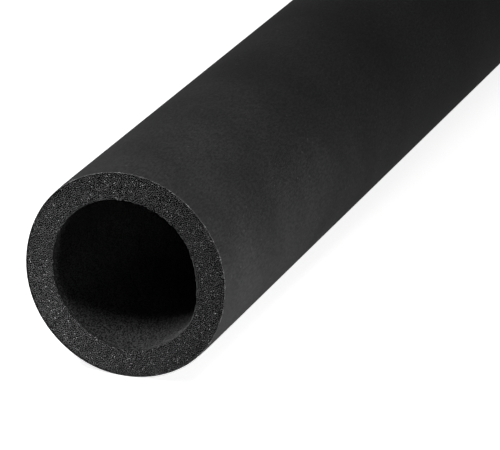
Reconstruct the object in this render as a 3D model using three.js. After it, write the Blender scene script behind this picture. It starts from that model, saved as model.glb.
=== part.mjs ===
// Pipe insulation lagging: one straight length of black elastomeric foam tube, which slides over a pipe.
// Millimetres, +Z up. The tube lies along Y on the plane z = 0, and its middle is over the origin.
import * as THREE from "three";

// Driving dimensions of the tube
const boreDiameter = 48;
const wallThickness = 9;
const tubeLength = 1000;
const cutEdgeRadius = 0.4;

// How finely the round stretches are faceted
const sectionSides = 96;
const cutEdgeFacets = 2;

const boreRadius = boreDiameter / 2;
const outerRadius = boreRadius + wallThickness;
const halfLength = tubeLength / 2;

// The wall cut lengthwise, as distance from the axis against place along it, with its four cut edges rounded.
function wallProfile() {
  const innerCentre = boreRadius + cutEdgeRadius;
  const outerCentre = outerRadius - cutEdgeRadius;
  const endCentre = halfLength - cutEdgeRadius;
  const quarter = Math.PI / 2;

  const outline = new THREE.Path();
  outline.absarc(outerCentre, -endCentre, cutEdgeRadius, -quarter, 0);
  outline.absarc(outerCentre, endCentre, cutEdgeRadius, 0, quarter);
  outline.absarc(innerCentre, endCentre, cutEdgeRadius, quarter, 2 * quarter);
  outline.absarc(innerCentre, -endCentre, cutEdgeRadius, 2 * quarter, 3 * quarter);
  outline.closePath();
  // getPoints makes two facets on an arc for each division, and one on a straight line.
  return outline.getPoints(cutEdgeFacets / 2);
}

// The wall turned about Y. The middle of one facet points straight down, so that the tube lies on it.
function foamTubeGeometry() {
  const halfFacet = Math.PI / sectionSides;
  return new THREE.LatheGeometry(wallProfile(), sectionSides, halfFacet);
}

const foam = new THREE.MeshStandardMaterial({ color: 0x1e1e1f, roughness: 0.9, metalness: 0 });

const tube = new THREE.Mesh(foamTubeGeometry(), foam);
tube.name = "lagging_tube";
tube.position.z = outerRadius * Math.cos(Math.PI / sectionSides);

const lagging = new THREE.Group();
lagging.add(tube);

export default lagging;
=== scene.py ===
# Pipe insulation lagging: a length of black elastomeric foam tube, lying on a pale floor.
# Metres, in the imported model's frame; sizes that end in _MM are millimetres.
import math

import bpy
import numpy as np
from mathutils import Matrix, Vector
from mathutils.geometry import delaunay_2d_cdt


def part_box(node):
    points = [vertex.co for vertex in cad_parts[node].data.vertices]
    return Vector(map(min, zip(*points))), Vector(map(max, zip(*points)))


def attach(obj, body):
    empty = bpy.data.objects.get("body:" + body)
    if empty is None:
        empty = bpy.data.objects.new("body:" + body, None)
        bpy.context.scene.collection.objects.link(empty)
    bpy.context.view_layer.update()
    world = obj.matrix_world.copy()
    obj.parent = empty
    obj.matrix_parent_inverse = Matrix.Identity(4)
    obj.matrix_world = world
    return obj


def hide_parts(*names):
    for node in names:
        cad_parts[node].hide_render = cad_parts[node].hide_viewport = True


NODE = "lagging_tube"
MM = 0.001

# Section of the tube
BORE_RADIUS_MM = 24.0
OUTER_RADIUS_MM = 33.0
OUTER_LIP_MM = 0.14
BORE_LIP_MM = 0.06

# How the photographed section differs from a true ring: wider or narrower, higher, and in waves.
# A wave has its number of crests in a turn, its height in millimetres, and the degrees from +X to a crest.
OUTSIDE_WIDER_MM = 0.10
OUTSIDE_HIGHER_MM = 0.20
OUTSIDE_WAVES = (
    (2, 0.15, 95),
    (3, 0.10, -20),
    (4, 0.05, 45),
    (6, 0.05, 15),
)
BORE_WIDER_MM = -0.10
BORE_HIGHER_MM = 0.40
BORE_WAVES = (
    (2, 0.50, 120),
    (3, 0.10, -55),
    (4, 0.10, -40),
    (5, 0.15, -25),
    (6, 0.10, 30),
)

# Where the cells of the foam lie on a cut end
CELL_TRIES = 75000
CELL_SPACING_MM = 0.58
CELL_SPREAD = 0.20
CELL_LIMITS_MM = (0.42, 0.84)
CELL_CLOSENESS = 0.84
RIM_CLEARANCE = 0.3
SHORTEST_WALL_MM = 0.05
MIRROR_BAND_MM = 1.3

# How a cell is shaped: a ragged wall, and a bowl of some depth for its reach
CELL_DEPTH = 1.15
DEPTH_LIMITS = (0.5, 1.4)
BOWL_SHARE = 0.68
BOWL_EDGE = 0.75
WALL_RAGGED_MM = 0.16
OUTER_RIM_RAGGED_MM = 0.06
BORE_NOTCH_MM = 0.42
BORE_NOTCH_RARITY = 1.5
BORE_NOTCH_SLOPE = 0.4

# How light a cell is: a tone up to TOP_TONE, lighter towards the bore, and past TOP_TONE for painted glints
TOP_TONE = 0.6
PLAIN_TONE = 0.15
TONE_OUTSIDE = 0.55
TONE_TOWARDS_BORE = 0.12
TONE_LEAST = 0.24
TONE_RANGE = 0.44
TONE_RARITY = 1.3
PAINTED_GLINT_CHANCE = 0.045
OUTER_LIP_GLINT_RARITY = 2.5

# One stream of random numbers for each thing that is irregular
NEAR_CELLS_SEED = 11
FAR_CELLS_SEED = 23
OUTER_LIPS_SEED = 31
BORE_LIPS_SEED = 37
NEAR_NOTCHES_SEED = 43
FAR_NOTCHES_SEED = 47

# Facets of the two skins, and how the outside widens behind the cut and flattens on the floor
SIDES_OUTSIDE = 256
SIDES_BORE = 384
SKIN_ROWS_MM = (1.4, 3.0, 5.5, 9.0, 15.0, 30.0, 80.0, 200.0, 400.0)
BORE_ROWS_MM = (1.4, 3.5, 9.0, 25.0, 70.0, 180.0, 400.0)
FLARE_MM = 0.20
FLARE_LENGTH_MM = 4.0
FLATTENING_MM = 0.06
LEAST_SLOPE = 0.1

# Rings of the outer lip: share of the lip's width in from the skin, depth in millimetres behind the cut,
# tone, and how much a painted highlight, broken at random, lightens it
OUTER_LIP = (
    (0.55, -0.02, PLAIN_TONE, 0.72),
    (0.15, 0.01, PLAIN_TONE, 0.72),
    (0.0, 0.10, PLAIN_TONE, 0.29),
    (0.0, 0.25, PLAIN_TONE, 0.0),
    (0.0, 0.60, PLAIN_TONE, 0.0),
)
# Rings of the bore's lip, with the share of the lip's width and of its notches
BORE_LIP = (
    (0.9, 0.36, 0.05, 0.10),
    (0.4, 0.52, 0.08, 0.05),
    (0.0, 0.66, PLAIN_TONE, 0.0),
)
LIP_END_MM = 0.66

# The bake map: share of its height that each strip takes, the gap between two strips, and the margins
CUT_STRIP = 0.104
OUTSIDE_STRIP = 0.335
BORE_STRIP = 0.225
STRIP_GAP = 0.004
CUT_MARGIN = 0.012
SKIN_MARGIN = 0.002
LIP_REACH_MM = 0.7

# Greys of the cut. A scale is in features a metre, and a shade has the least and the most of its factor.
DARKEST_WALL = 0.002
LIGHTEST_WALL = 0.136
# How much a painted glint brightens the lightest wall
PAINTED_GLINT_GAIN = 3.5
# Factor at the bottom of a cell's bowl: painted shade in the hollows
PAINTED_BOWL_SHADE = 0.08
FINE_SCALE = 5000.0
FINE_SHADE = (0.10, 1.90)

# Patches and dust on the skins, and the blue in every grey
PATCH_SCALE = 32.0
PATCH_SHADE = (0.74, 1.26)
DUST_SCALE = 900.0
DUST_GAIN = 2.2
BLUE_SHARE = 1.02

# Studio
FLOOR_HALF = 60.0
FLOOR_GLOW = 0.86
FLOOR_LIGHT = 0.6
FLOOR_LIGHT_ANGLE = math.radians(80)
ROOM_LIGHT = 0.19
ROOM_LIGHT_EDGE = 0.2

# Lamps that light what the photograph shows: name, place from the near end's middle, width, watts
LAMPS = (
    ("upper_left", (-0.12, -0.085, 0.20), 0.11, 0.50),
    ("left_far_low", (-0.40, -0.30, -0.15), 0.15, 1.90),
    ("left_close_low", (-0.12, -0.09, -0.07), 0.04, 0.34),
    ("right_low", (0.15, 0.01, -0.07), 0.06, 0.18),
    ("right", (0.20, 0.01, 0.02), 0.06, 0.070),
    ("top_right_near", (0.075, 0.02, 0.10), 0.03, 0.036),
)
# Lamps that light the half of the tube that the photograph doesn't show
FAR_LAMPS = (
    ("far_above", (-0.10, 0.84, 0.42), 0.25, 1.0),
    ("far_right", (0.40, 0.84, 0.12), 0.25, 0.8),
    ("far_left", (-0.40, 0.84, 0.12), 0.25, 0.5),
    ("far_end", (0.0, 1.22, -0.028), 0.008, 0.16),
)
NEAR_SPREAD = math.pi
FAR_SPREAD = math.radians(80)

# The photograph's camera, solved from the rims of the cut end and the tube's sides. It looks along the tube
# from an azimuth and an elevation, and its place is measured from the near end's middle.
PICTURE_WIDTH_PIXELS = 500.0
FOCAL_PIXELS = 3899.0
SENSOR_MM = 36.0
AZIMUTH = math.radians(20.97)
ELEVATION = math.radians(20.71)
EYE_RIGHT = 0.03817
EYE_UP = 0.01569
EYE_BACK = 1.18675

NEAR_CUT, FAR_CUT, OUTSIDE, BORE = range(4)


def even_angles(sides):
    return np.arange(sides) * (2 * math.pi / sides) - math.pi


def out_of_round(radius, higher, waves, angle):
    """Radius at an angle. Angle 0 is towards +X and a quarter turn is up."""
    waving = sum(tall * np.cos(crests * (angle - math.radians(crest))) for crests, tall, crest in waves)
    return radius + higher * np.sin(angle) + waving


def outer_radius(angle, height, depth=0.0):
    """Radius of the outside at a depth behind the cut, flattened where the tube lies on the floor.

    It is the smaller of the plain radius and the distance to the floor, blended where the two are close.
    """
    wider = FLARE_MM * (1 - np.exp(-depth / FLARE_LENGTH_MM))
    plain = OUTER_RADIUS_MM + OUTSIDE_WIDER_MM + wider
    radius = out_of_round(plain, OUTSIDE_HIGHER_MM, OUTSIDE_WAVES, angle)
    to_floor = height / np.maximum(-np.sin(angle), LEAST_SLOPE)
    return (radius + to_floor - np.hypot(radius - to_floor, 2 * FLATTENING_MM)) / 2


def bore_radius(angle):
    return out_of_round(BORE_RADIUS_MM + BORE_WIDER_MM, BORE_HIGHER_MM, BORE_WAVES, angle)


def bore_notches(end):
    """How far the bore's edge is torn back at one end, for each of the bore's angles."""
    rng = np.random.default_rng(NEAR_NOTCHES_SEED if end < 0 else FAR_NOTCHES_SEED)
    return BORE_NOTCH_MM * rng.random(SIDES_BORE) ** BORE_NOTCH_RARITY


def foam_seeds(rng, inner, outer):
    """One point for each cell, none nearer to another than their two sizes allow."""
    size = CELL_LIMITS_MM[1]
    cells = {}
    for _ in range(CELL_TRIES):
        radius = math.sqrt(rng.uniform(inner**2, outer**2))
        angle = rng.uniform(-math.pi, math.pi)
        own = CELL_SPACING_MM * math.exp(CELL_SPREAD * rng.normal())
        own = min(max(own, CELL_LIMITS_MM[0]), CELL_LIMITS_MM[1])
        if min(radius - inner, outer - radius) < RIM_CLEARANCE * own:
            continue
        x, z = radius * math.cos(angle), radius * math.sin(angle)
        column, row = int(x // size), int(z // size)
        near = (
            other
            for i in (-1, 0, 1)
            for j in (-1, 0, 1)
            for other in cells.get((column + i, row + j), ())
        )
        if all(math.hypot(x - a, z - b) > CELL_CLOSENESS * (own + s) / 2 for a, b, s in near):
            cells.setdefault((column, row), []).append((x, z, own))
    return np.array([point[:2] for found in cells.values() for point in found])


def with_mirrored(seeds, inner, outer):
    """The seeds and their mirror images past both rims, so that walls between cells run along the rims."""
    radius = np.hypot(*seeds.T)
    everything = [seeds]
    for rim in (inner, outer):
        close = np.abs(radius - rim) < MIRROR_BAND_MM
        scale = (2 * rim - radius[close]) / radius[close]
        everything.append(seeds[close] * scale[:, None])
    return np.vstack(everything)


def middles_of_circles(a, b, c):
    """The centre of the circle through each three points."""
    ab, ac = b - a, c - a
    twice = 2 * (ab[:, 0] * ac[:, 1] - ab[:, 1] * ac[:, 0])
    ab2, ac2 = (ab**2).sum(1), (ac**2).sum(1)
    x = (ac[:, 1] * ab2 - ab[:, 1] * ac2) / twice
    z = (ab[:, 0] * ac2 - ac[:, 0] * ab2) / twice
    return a + np.stack([x, z], 1)


def merged(corners, outlines):
    """The corners with those joined by a very short wall made one, and the outlines that use them."""
    parent = list(range(len(corners)))

    def head(i):
        while parent[i] != i:
            parent[i] = parent[parent[i]]
            i = parent[i]
        return i

    for outline in outlines:
        for a, b in zip(outline, outline[1:] + outline[:1]):
            if math.dist(corners[a], corners[b]) < SHORTEST_WALL_MM:
                parent[head(a)] = head(b)
    heads = np.array([head(i) for i in range(len(corners))])
    used = sorted({int(heads[i]) for outline in outlines for i in outline})
    place = {old: new for new, old in enumerate(used)}
    shorter = []
    for outline in outlines:
        names = [place[int(heads[i])] for i in outline]
        shorter.append([n for k, n in enumerate(names) if n != names[k - 1]])
    return corners[used], shorter


def foam_cells(rng, inner, outer):
    """Corners of the walls between cells, and each cell's outline as a list of corners."""
    points = with_mirrored(foam_seeds(rng, inner, outer), inner, outer)
    made = delaunay_2d_cdt([Vector(p) for p in points], [], [], 0, 1e-6, False)
    seeds = np.array([tuple(v) for v in made[0]])
    triangles = np.array(made[2])
    corners = middles_of_circles(*(seeds[triangles[:, k]] for k in range(3)))
    order = np.argsort(triangles.ravel(), kind="stable")
    owners = triangles.ravel()[order]
    starts = np.searchsorted(owners, np.arange(len(seeds) + 1))
    radius = np.hypot(*seeds.T)
    outlines = []
    for i in np.flatnonzero((radius > inner) & (radius < outer)):
        round_it = order[starts[i] : starts[i + 1]] // 3
        turn = np.arctan2(*(corners[round_it] - seeds[i]).T[::-1])
        outlines.append([int(t) for t in round_it[np.argsort(turn)]])
    corners, outlines = merged(corners, outlines)
    return corners, [outline for outline in outlines if len(outline) > 2]


def rims(outlines):
    """The loops of corners that only one cell uses, longest first."""
    edges = {(a, b) for o in outlines for a, b in zip(o, o[1:] + o[:1])}
    after = {a: b for a, b in edges if (b, a) not in edges}
    loops = []
    while after:
        start, here = next(iter(after.items()))
        del after[start]
        loop = [start]
        while here != start:
            loop.append(here)
            here = after.pop(here)
        loops.append(loop)
    return sorted(loops, key=len, reverse=True)


class Tube:
    """The tube's points and faces, with what its materials and its bake map read."""

    def __init__(self, half_length, height):
        self.half_length, self.height = half_length / MM, height / MM
        self.points, self.across, self.pit, self.tone = [], [], [], []
        self.faces, self.zones = [], []

    def point(self, angle, radius, depth, end, across=0.0, pit=0.0, tone=0.5):
        """Adds a point at a depth behind the near cut, end -1, or the far one, end 1."""
        y = end * (self.half_length - depth)
        self.points.append((radius * math.cos(angle), y, self.height + radius * math.sin(angle)))
        self.across.append(across)
        self.pit.append(pit)
        self.tone.append(tone)
        return len(self.points) - 1

    def face(self, corners, zone, outwards=True):
        self.faces.append(tuple(corners) if outwards else tuple(reversed(corners)))
        self.zones.append(zone)


def placed(radius, angle, height, inner, outer):
    """Radius at the cut of a point of the plain round ring between inner and outer."""
    low = bore_radius(angle) + BORE_LIP_MM
    high = outer_radius(angle, height) - OUTER_LIP_MM
    return low + (radius - inner) / (outer - inner) * (high - low)


def cut_face(tube, end, seed):
    """The cells of one cut end. Returns the two rims as lists of angle and point, in order of angle."""
    rng = np.random.default_rng(seed)
    inner, outer = BORE_RADIUS_MM + BORE_LIP_MM, OUTER_RADIUS_MM - OUTER_LIP_MM
    corners, outlines = foam_cells(rng, inner, outer)
    loops = rims(outlines)[:2]
    angle = np.arctan2(*corners[loops[1]].T[::-1])
    notches = np.interp(angle, even_angles(SIDES_BORE), bore_notches(end), period=2 * math.pi)
    ragged = OUTER_RIM_RAGGED_MM * rng.random(len(loops[0]))
    for loop, radius in zip(loops, (outer - ragged, inner + notches)):
        corners[loop] *= (radius / np.hypot(*corners[loop].T))[:, None]
    zone = NEAR_CUT if end < 0 else FAR_CUT
    out = end < 0

    def tone_at(x, z):
        nearness = (outer - math.hypot(x, z)) / (outer - inner)
        lightest = TONE_OUTSIDE + TONE_TOWARDS_BORE * nearness
        return min(TOP_TONE, lightest * (TONE_LEAST + TONE_RANGE * rng.random() ** TONE_RARITY))

    def add(x, z, depth, **rest):
        angle, plain = math.atan2(z, x), math.hypot(x, z)
        real = float(placed(plain, angle, tube.height, inner, outer))
        return tube.point(angle, real, depth, end, across=plain, **rest)

    on_outer_rim, on_bore_rim = set(loops[0]), set(loops[1])
    walls = []
    for k, (x, z) in enumerate(corners):
        depth, tone = WALL_RAGGED_MM * rng.random(), tone_at(x, z)
        if k in on_outer_rim:
            depth = 0.0
        elif k in on_bore_rim:
            depth = BORE_NOTCH_SLOPE * (math.hypot(x, z) - inner)
        # A few walls get the top tone: painted glints where cell walls would catch the light
        elif rng.random() < PAINTED_GLINT_CHANCE:
            tone = 1.0
        walls.append(add(x, z, depth, tone=tone))
    for outline in outlines:
        middle = corners[outline].mean(0)
        reach = np.hypot(*(corners[outline] - middle).T).mean()
        depth = reach * CELL_DEPTH * rng.uniform(*DEPTH_LIMITS) + WALL_RAGGED_MM / 2
        tone = tone_at(*middle)
        bowl = []
        for c in outline:
            x, z = middle + BOWL_SHARE * (corners[c] - middle)
            # The pit values set how much painted shade falls on the bowl's edge and on its bottom
            bowl.append(add(x, z, BOWL_EDGE * depth, pit=BOWL_EDGE, tone=tone))
        bottom = add(*middle, depth, pit=1.0, tone=tone)
        for k, c in enumerate(outline):
            following = (k + 1) % len(outline)
            wall = (walls[c], walls[outline[following]], bowl[following], bowl[k])
            tube.face(wall, zone, out)
            tube.face((bowl[k], bowl[following], bottom), zone, out)
    return [sorted((math.atan2(*corners[c][::-1]), walls[c]) for c in loop) for loop in loops]


def zipped(tube, first, second, zone, outwards):
    """Joins two rings of different numbers of points, each a list of angle and point in order."""
    turn = 2 * math.pi
    a = first + [(first[0][0] + turn, first[0][1])]
    b = second + [(second[0][0] + turn, second[0][1])]
    i = j = 0
    while i < len(a) - 1 or j < len(b) - 1:
        if j == len(b) - 1 or (i < len(a) - 1 and a[i + 1][0] <= b[j + 1][0]):
            tube.face((a[i][1], b[j][1], a[i + 1][1]), zone, outwards)
            i += 1
        else:
            tube.face((a[i][1], b[j][1], b[j + 1][1]), zone, outwards)
            j += 1


def ring(tube, radii, depth, end, across, tones):
    """A ring of evenly spaced points, as a list of angle and point."""
    angles = even_angles(len(radii)).tolist()
    return [
        (angle, tube.point(angle, float(radius), depth, end, across=across, tone=float(tone)))
        for angle, radius, tone in zip(angles, radii, tones)
    ]


def band(tube, first, second, zone, outwards):
    """Four-sided faces between two rings of as many points."""
    count = len(first)
    for k in range(count):
        following = (k + 1) % count
        corners = (first[k][1], second[k][1], second[following][1], first[following][1])
        tube.face(corners, zone, outwards)


def plain_rows(depths):
    """Rings of a skin behind its lip, in the form of the lip's rings."""
    return tuple((0.0, depth, PLAIN_TONE, 0.0) for depth in depths)


def joined(tube, rim, before, here, zone, end, depth):
    """Joins a skin's ring to the one before it, or the first to the rim of the cells, and returns it."""
    outwards = (end < 0) == (zone == OUTSIDE)
    if depth <= LIP_END_MM:
        zone = NEAR_CUT if end < 0 else FAR_CUT
    if before is None:
        zipped(tube, rim, here, zone, outwards)
    else:
        band(tube, before, here, zone, outwards)
    return here


def outer_skin(tube, near_rim, far_rim):
    """The outside from rim to rim, with rounded lips lightened here and there at random, as a painted
    highlight along the rims.
    """
    rng = np.random.default_rng(OUTER_LIPS_SEED)
    angles = even_angles(SIDES_OUTSIDE)
    middles = []
    for end, rim in ((-1, near_rim), (1, far_rim)):
        # Random patches of the outer lip are lightened, some past TOP_TONE: a painted highlight along the
        # rim, broken at random
        random_lightening = rng.random(SIDES_OUTSIDE) ** OUTER_LIP_GLINT_RARITY
        before = None
        for share, depth, tone, lightened in OUTER_LIP + plain_rows(SKIN_ROWS_MM):
            below = max(depth, 0.0)
            radii = outer_radius(angles, tube.height, below) - share * OUTER_LIP_MM
            across = OUTER_RADIUS_MM + below - share * OUTER_LIP_MM
            here = ring(tube, radii, depth, end, across, tone + lightened * random_lightening)
            before = joined(tube, rim, before, here, OUTSIDE, end, depth)
        middles.append(before)
    band(tube, middles[0], middles[1], OUTSIDE, True)


def bore_skin(tube, near_rim, far_rim):
    """The bore from rim to rim, with notches in its edges where the cut tore cells open."""
    rng = np.random.default_rng(BORE_LIPS_SEED)
    middles = []
    for end, rim in ((-1, near_rim), (1, far_rim)):
        notches = bore_notches(end)
        random_lightening = rng.random(SIDES_BORE)
        before = None
        for share, depth, tone, lightened in BORE_LIP + plain_rows(BORE_ROWS_MM):
            radii = bore_radius(even_angles(SIDES_BORE)) + share * (BORE_LIP_MM + notches)
            here = ring(tube, radii, depth, end, BORE_RADIUS_MM - depth, tone + lightened * random_lightening)
            before = joined(tube, rim, before, here, BORE, end, depth)
        middles.append(before)
    band(tube, middles[0], middles[1], BORE, False)


def bake_places(tube, owners, starts, of_face):
    """Where each corner of each face lies on the bake map."""
    points = np.array(tube.points)
    angle = np.arctan2(points[:, 2] - tube.height, points[:, 0])[owners]
    x = np.add.reduceat(np.cos(angle), starts)
    z = np.add.reduceat(np.sin(angle), starts)
    home = np.arctan2(z, x)[of_face]
    angle = home + (angle - home + math.pi) % (2 * math.pi) - math.pi
    zone = np.array(tube.zones)[of_face]
    along = (points[owners, 1] / tube.half_length + 1) / 2
    across = np.array(tube.across)[owners]
    reach = OUTER_RADIUS_MM - BORE_RADIUS_MM + 2 * LIP_REACH_MM
    share = (across - (BORE_RADIUS_MM - LIP_REACH_MM)) / reach
    upper = home >= 0
    u = np.where(upper, angle / math.pi, angle / math.pi + 1)
    u = CUT_MARGIN + (1 - 2 * CUT_MARGIN) * u
    strip = 2 * zone + upper
    v = strip * (CUT_STRIP + STRIP_GAP) + STRIP_GAP + share * CUT_STRIP
    round_it = angle / (2 * math.pi) + 0.5
    skins_from = 4 * (CUT_STRIP + STRIP_GAP) + STRIP_GAP
    on_skin = SKIN_MARGIN + (1 - 2 * SKIN_MARGIN) * along
    u = np.where(zone < OUTSIDE, u, on_skin)
    v = np.where(zone == OUTSIDE, skins_from + round_it * OUTSIDE_STRIP, v)
    v = np.where(zone == BORE, skins_from + OUTSIDE_STRIP + STRIP_GAP + round_it * BORE_STRIP, v)
    return np.stack([u, v], 1)


def tube_object(tube, materials):
    mesh = bpy.data.meshes.new("foam_lagging")
    mesh.from_pydata((np.array(tube.points) * MM).tolist(), [], tube.faces)
    # pit carries the painted shade of the bowls; tone is each point's random grey
    for name, values in (("pit", tube.pit), ("tone", tube.tone)):
        layer = mesh.attributes.new(name, "FLOAT", "POINT")
        layer.data.foreach_set("value", np.array(values, np.float32))
    for material in materials:
        mesh.materials.append(material)
    zones = np.array(tube.zones)
    mesh.polygons.foreach_set("material_index", np.maximum(zones - 1, 0).astype(np.int32))
    mesh.polygons.foreach_set("use_smooth", np.ones(len(zones), bool))
    counts = np.array([len(f) for f in tube.faces])
    owners = np.concatenate([np.array(f) for f in tube.faces])
    starts = np.concatenate([[0], np.cumsum(counts)[:-1]])
    places = bake_places(tube, owners, starts, np.repeat(np.arange(len(counts)), counts))
    layer = mesh.uv_layers.new(name="OFBake")
    layer.data.foreach_set("uv", places.astype(np.float32).ravel())
    mesh.update()
    piece = bpy.data.objects.new("foam_lagging", mesh)
    bpy.context.collection.objects.link(piece)
    return piece


class Nodes:
    """Makes a material's nodes and links."""

    def __init__(self, name):
        self.material = bpy.data.materials.new(name)
        self.material.use_nodes = True
        self.tree = self.material.node_tree
        self.shader = self.tree.nodes["Principled BSDF"]

    def add(self, kind, inputs=None, **settings):
        node = self.tree.nodes.new(kind)
        for key, value in settings.items():
            setattr(node, key, value)
        for key, value in (inputs or {}).items():
            if isinstance(value, bpy.types.NodeSocket):
                self.tree.links.new(value, node.inputs[key])
            else:
                node.inputs[key].default_value = value
        return node

    def noise(self, scale, detail=2.0, roughness=0.5, drawn_out=1.0):
        """Noise of so many features a metre, drawn out along the tube."""
        place = self.add("ShaderNodeTexCoord").outputs["Object"]
        if drawn_out != 1.0:
            inputs = {"Vector": place, "Scale": (1.0, 1.0 / drawn_out, 1.0)}
            place = self.add("ShaderNodeMapping", inputs).outputs[0]
        inputs = {"Vector": place, "Scale": scale, "Detail": detail, "Roughness": roughness}
        return self.add("ShaderNodeTexNoise", inputs).outputs["Fac"]

    def ramp(self, value, low, high, to_low, to_high):
        inputs = {0: value, 1: low, 2: high, 3: to_low, 4: to_high}
        return self.add("ShaderNodeMapRange", inputs).outputs[0]

    def times(self, a, b):
        return self.add("ShaderNodeMath", {0: a, 1: b}, operation="MULTIPLY").outputs[0]

    def grey(self, value):
        parts = {"Red": value, "Green": value, "Blue": self.times(value, BLUE_SHARE)}
        return self.add("ShaderNodeCombineColor", parts).outputs[0]

    def to_shader(self, **inputs):
        for key, value in inputs.items():
            socket = self.shader.inputs[key.replace("_", " ")]
            if isinstance(value, bpy.types.NodeSocket):
                self.tree.links.new(value, socket)
            else:
                socket.default_value = value


def cut_material():
    """Open cells: walls lighter than the bowls, painted shade darkening the bowls towards their bottoms,
    and here and there a painted glint.
    """
    n = Nodes("cut_cells")
    pit = n.add("ShaderNodeAttribute", attribute_name="pit").outputs["Fac"]
    tone = n.add("ShaderNodeAttribute", attribute_name="tone").outputs["Fac"]
    walls = n.ramp(tone, 0.0, TOP_TONE, DARKEST_WALL, LIGHTEST_WALL)
    # Tones past TOP_TONE brighten the colour: painted glints
    painted_glints = n.ramp(tone, TOP_TONE, 1.0, 1.0, PAINTED_GLINT_GAIN)
    # Painted shade: darker towards the bottom of each cell's bowl
    depth = n.ramp(pit, 0.0, 1.0, 1.0, PAINTED_BOWL_SHADE)
    fine = n.ramp(n.noise(FINE_SCALE, 1.0), 0.40, 0.60, *FINE_SHADE)
    value = n.times(n.times(n.times(walls, painted_glints), depth), fine)
    n.to_shader(Base_Color=n.grey(value), Roughness=0.65, Specular_IOR_Level=0.15)
    return n.material


def skin_material(name, base, grain, edge, scale, drawn_out, bump):
    """A skin: matte black, mottled in broad soft patches, with a fine grain drawn out along the tube.

    The grain lightens and darkens the base by its own share, and a small edge makes it abrupt.
    """
    n = Nodes(name)
    broad = n.ramp(n.noise(PATCH_SCALE, 3.0), 0.3, 0.7, *PATCH_SHADE)
    grains = n.noise(scale, 2.0, drawn_out=drawn_out)
    fine = n.ramp(grains, 0.5 - edge, 0.5 + edge, 1 - grain, 1 + grain)
    dust = n.ramp(n.noise(DUST_SCALE, 0.0), 0.80, 0.84, 1.0, DUST_GAIN)
    value = n.times(n.times(n.times(base, broad), fine), dust)
    height = n.noise(0.9 * scale, 3.0, 0.6, drawn_out)
    bumpy = n.add("ShaderNodeBump", {"Height": height, "Strength": 1.0, "Distance": bump}).outputs[0]
    n.to_shader(Base_Color=n.grey(value), Roughness=0.6, Specular_IOR_Level=0.25, Normal=bumpy)
    return n.material


def floor():
    """A pale floor that glows by itself and throws no light on the tube."""
    mesh = bpy.data.meshes.new("floor")
    corners = [(FLOOR_HALF * x, FLOOR_HALF * y, 0) for x, y in ((-1, -1), (1, -1), (1, 1), (-1, 1))]
    mesh.from_pydata(corners, [], [(0, 1, 2, 3)])
    n = Nodes("floor")
    n.to_shader(Base_Color=(0.92, 0.92, 0.92, 1), Roughness=0.9, Specular_IOR_Level=0.1)
    n.to_shader(Emission_Color=(1, 1, 1, 1), Emission_Strength=FLOOR_GLOW)
    mesh.materials.append(n.material)
    plane = bpy.data.objects.new("floor", mesh)
    bpy.context.collection.objects.link(plane)
    plane.visible_diffuse = plane.visible_glossy = plane.visible_shadow = False
    return plane


def soft_lamp(name, place, aim, size, power, spread):
    light = bpy.data.lights.new(name, "AREA")
    light.shape, light.size, light.energy, light.spread = "DISK", size, power, spread
    lamp = bpy.data.objects.new(name, light)
    lamp.location = place
    lamp.rotation_euler = (aim - place).to_track_quat("-Z", "Y").to_euler()
    lamp.visible_camera = False
    bpy.context.collection.objects.link(lamp)


def room():
    """A room that the camera sees as white, and that gives a little light from behind the near end."""
    world = bpy.data.worlds.new("studio")
    world.use_nodes = True
    tree = world.node_tree
    direction = tree.nodes.new("ShaderNodeTexCoord").outputs["Generated"]
    parts = tree.nodes.new("ShaderNodeSeparateXYZ")
    tree.links.new(direction, parts.inputs[0])
    light = tree.nodes.new("ShaderNodeMapRange")
    tree.links.new(parts.outputs["Y"], light.inputs[0])
    values = (-ROOM_LIGHT_EDGE, ROOM_LIGHT_EDGE, 0.0, ROOM_LIGHT)
    for socket, value in zip(list(light.inputs)[1:5], values):
        socket.default_value = value
    seen = tree.nodes.new("ShaderNodeLightPath").outputs["Is Camera Ray"]
    strength = tree.nodes.new("ShaderNodeMapRange")
    tree.links.new(seen, strength.inputs[0])
    tree.links.new(light.outputs[0], strength.inputs[3])
    strength.inputs[4].default_value = 1.0
    tree.nodes["Background"].inputs["Color"].default_value = (1, 1, 1, 1)
    tree.links.new(strength.outputs[0], tree.nodes["Background"].inputs["Strength"])
    bpy.context.scene.world = world


def tube_lamps(near_end):
    """The near lamps aim at the near end's middle, and the far ones at the nearest point of the axis."""
    for name, offset, size, power in LAMPS:
        soft_lamp(name, near_end + Vector(offset), near_end, size, power, NEAR_SPREAD)
    for name, offset, size, power in FAR_LAMPS:
        aim = near_end + Vector((0, min(offset[1], 2 * abs(near_end.y)), 0))
        soft_lamp(name, near_end + Vector(offset), aim, size, power, FAR_SPREAD)


def floor_lamp(plane):
    """A sun that lights the floor alone, so that the tube throws its faint shadow."""
    sun = bpy.data.lights.new("floor_lamp", "SUN")
    sun.energy, sun.angle = FLOOR_LIGHT, FLOOR_LIGHT_ANGLE
    lamp = bpy.data.objects.new("floor_lamp", sun)
    bpy.context.collection.objects.link(lamp)
    lit = bpy.data.collections.new("lit_by_floor_lamp")
    lit.objects.link(plane)
    lamp.light_linking.receiver_collection = lit


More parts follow.
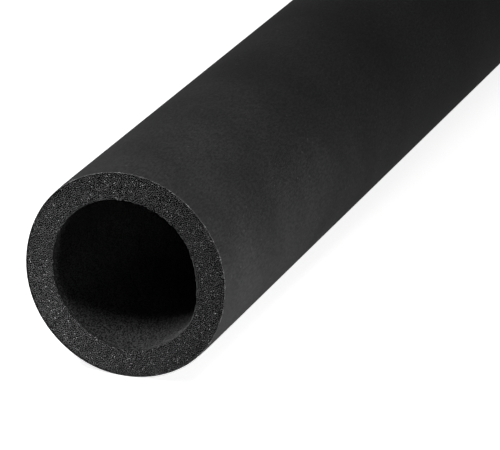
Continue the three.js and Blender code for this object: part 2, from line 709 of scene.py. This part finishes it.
def camera(near_end):
    right = Vector((math.cos(AZIMUTH), math.sin(AZIMUTH), 0))
    level_back = Vector((math.sin(AZIMUTH), -math.cos(AZIMUTH), 0))
    back = math.cos(ELEVATION) * level_back + math.sin(ELEVATION) * Vector((0, 0, 1))
    up = back.cross(right)
    place = near_end + EYE_RIGHT * right + EYE_UP * up + EYE_BACK * back
    data = bpy.data.cameras.new("camera")
    data.sensor_width, data.lens = SENSOR_MM, FOCAL_PIXELS * SENSOR_MM / PICTURE_WIDTH_PIXELS
    data.clip_start, data.clip_end = 0.05, 200.0
    eye = bpy.data.objects.new("camera", data)
    eye.matrix_world = Matrix.Translation(place) @ Matrix((right, up, back)).transposed().to_4x4()
    bpy.context.collection.objects.link(eye)
    bpy.context.scene.camera = eye


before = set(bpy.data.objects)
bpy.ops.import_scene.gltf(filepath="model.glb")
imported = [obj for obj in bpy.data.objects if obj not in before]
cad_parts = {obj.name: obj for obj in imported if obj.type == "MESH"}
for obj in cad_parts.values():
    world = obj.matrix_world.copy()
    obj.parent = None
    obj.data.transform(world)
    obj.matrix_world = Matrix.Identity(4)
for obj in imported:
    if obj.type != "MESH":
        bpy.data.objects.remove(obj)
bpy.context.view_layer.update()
low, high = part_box(NODE)
axis_height = (low[2] + high[2]) / 2
near_end = Vector((0, low[1], axis_height))

bpy.context.scene.view_settings.view_transform = "Standard"
camera(near_end)
plane = floor()
room()
tube_lamps(near_end)
floor_lamp(plane)

tube = Tube(high[1], axis_height)
near_rims = cut_face(tube, -1, NEAR_CELLS_SEED)
far_rims = cut_face(tube, 1, FAR_CELLS_SEED)
outer_skin(tube, near_rims[0], far_rims[0])
bore_skin(tube, near_rims[1], far_rims[1])
materials = [
    cut_material(),
    skin_material("skin", base=0.0242, grain=0.32, edge=0.14, scale=1800.0, drawn_out=2.8, bump=0.00006),
    skin_material("bore_skin", base=0.052, grain=1.0, edge=0.09, scale=2900.0, drawn_out=2.6, bump=0.0004),
]
piece = tube_object(tube, materials)
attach(piece, "root")
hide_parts(NODE)
